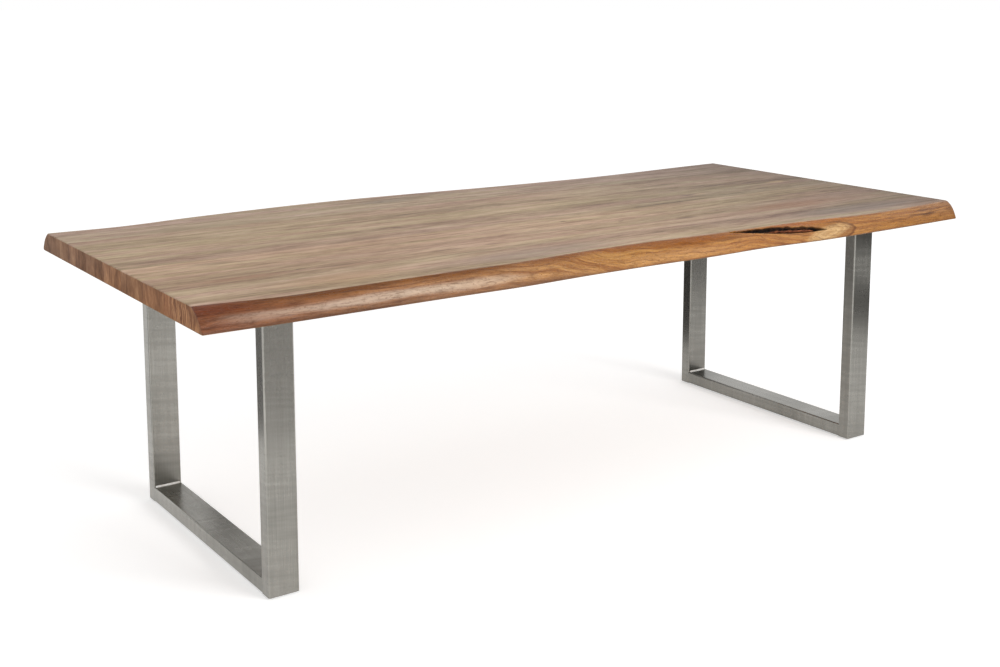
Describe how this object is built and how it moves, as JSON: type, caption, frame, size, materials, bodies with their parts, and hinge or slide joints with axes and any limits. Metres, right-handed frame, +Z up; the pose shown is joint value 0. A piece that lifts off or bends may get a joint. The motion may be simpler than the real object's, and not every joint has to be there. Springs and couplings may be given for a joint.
{
  "type": "live edge dining table",
  "caption": "Dining table with a thick board top, wavy natural long edges and two open frames of brushed steel tube on levelling glides.",
  "frame": {"origin": "on the floor, below the middle of the table top", "axes": "+X along the table to its right end, +Y from the front edge to the rear edge, +Z up"},
  "size_m": [2.5, 1.1544, 0.762],
  "materials": {
    "wood": "oiled and waxed",
    "steel": "long-grain brushed",
    "fasteners": "bright zinc",
    "glide": "moulded"
  },
  "bodies": {
    "table": {"front_live_edge_board": "wood", "inner_board_1": "wood", "inner_board_2": "wood", "inner_board_3": "wood", "inner_board_4": "wood", "inner_board_5": "wood", "rear_live_edge_board": "wood", "left_front_post": "steel", "left_rear_post": "steel", "left_floor_runner": "steel", "left_mounting_bar": "steel", "left_post_end_plates": "steel", "left_weld_beads": "steel", "left_top_bolts": "fasteners", "left_top_washers": "fasteners", "left_threaded_inserts": "fasteners", "left_rivet_nuts": "fasteners", "right_front_post": "steel", "right_rear_post": "steel", "right_floor_runner": "steel", "right_mounting_bar": "steel", "right_post_end_plates": "steel", "right_weld_beads": "steel", "right_top_bolts": "fasteners", "right_top_washers": "fasteners", "right_threaded_inserts": "fasteners", "right_rivet_nuts": "fasteners"},
    "left_front_glide": {"left_front_glide_pad": "glide", "left_front_glide_stud": "fasteners"},
    "left_rear_glide": {"left_rear_glide_pad": "glide", "left_rear_glide_stud": "fasteners"},
    "right_front_glide": {"right_front_glide_pad": "glide", "right_front_glide_stud": "fasteners"},
    "right_rear_glide": {"right_rear_glide_pad": "glide", "right_rear_glide_stud": "fasteners"}
  },
  "joints": [
    {"name": "left_front_glide_screw", "type": "slide", "parent": "table", "child": "left_front_glide", "axis": [0, 0, -1], "range_m": [0, 0.01]},
    {"name": "left_rear_glide_screw", "type": "slide", "parent": "table", "child": "left_rear_glide", "axis": [0, 0, -1], "range_m": [0, 0.01]},
    {"name": "right_front_glide_screw", "type": "slide", "parent": "table", "child": "right_front_glide", "axis": [0, 0, -1], "range_m": [0, 0.01]},
    {"name": "right_rear_glide_screw", "type": "slide", "parent": "table", "child": "right_rear_glide", "axis": [0, 0, -1], "range_m": [0, 0.01]}
  ]
}
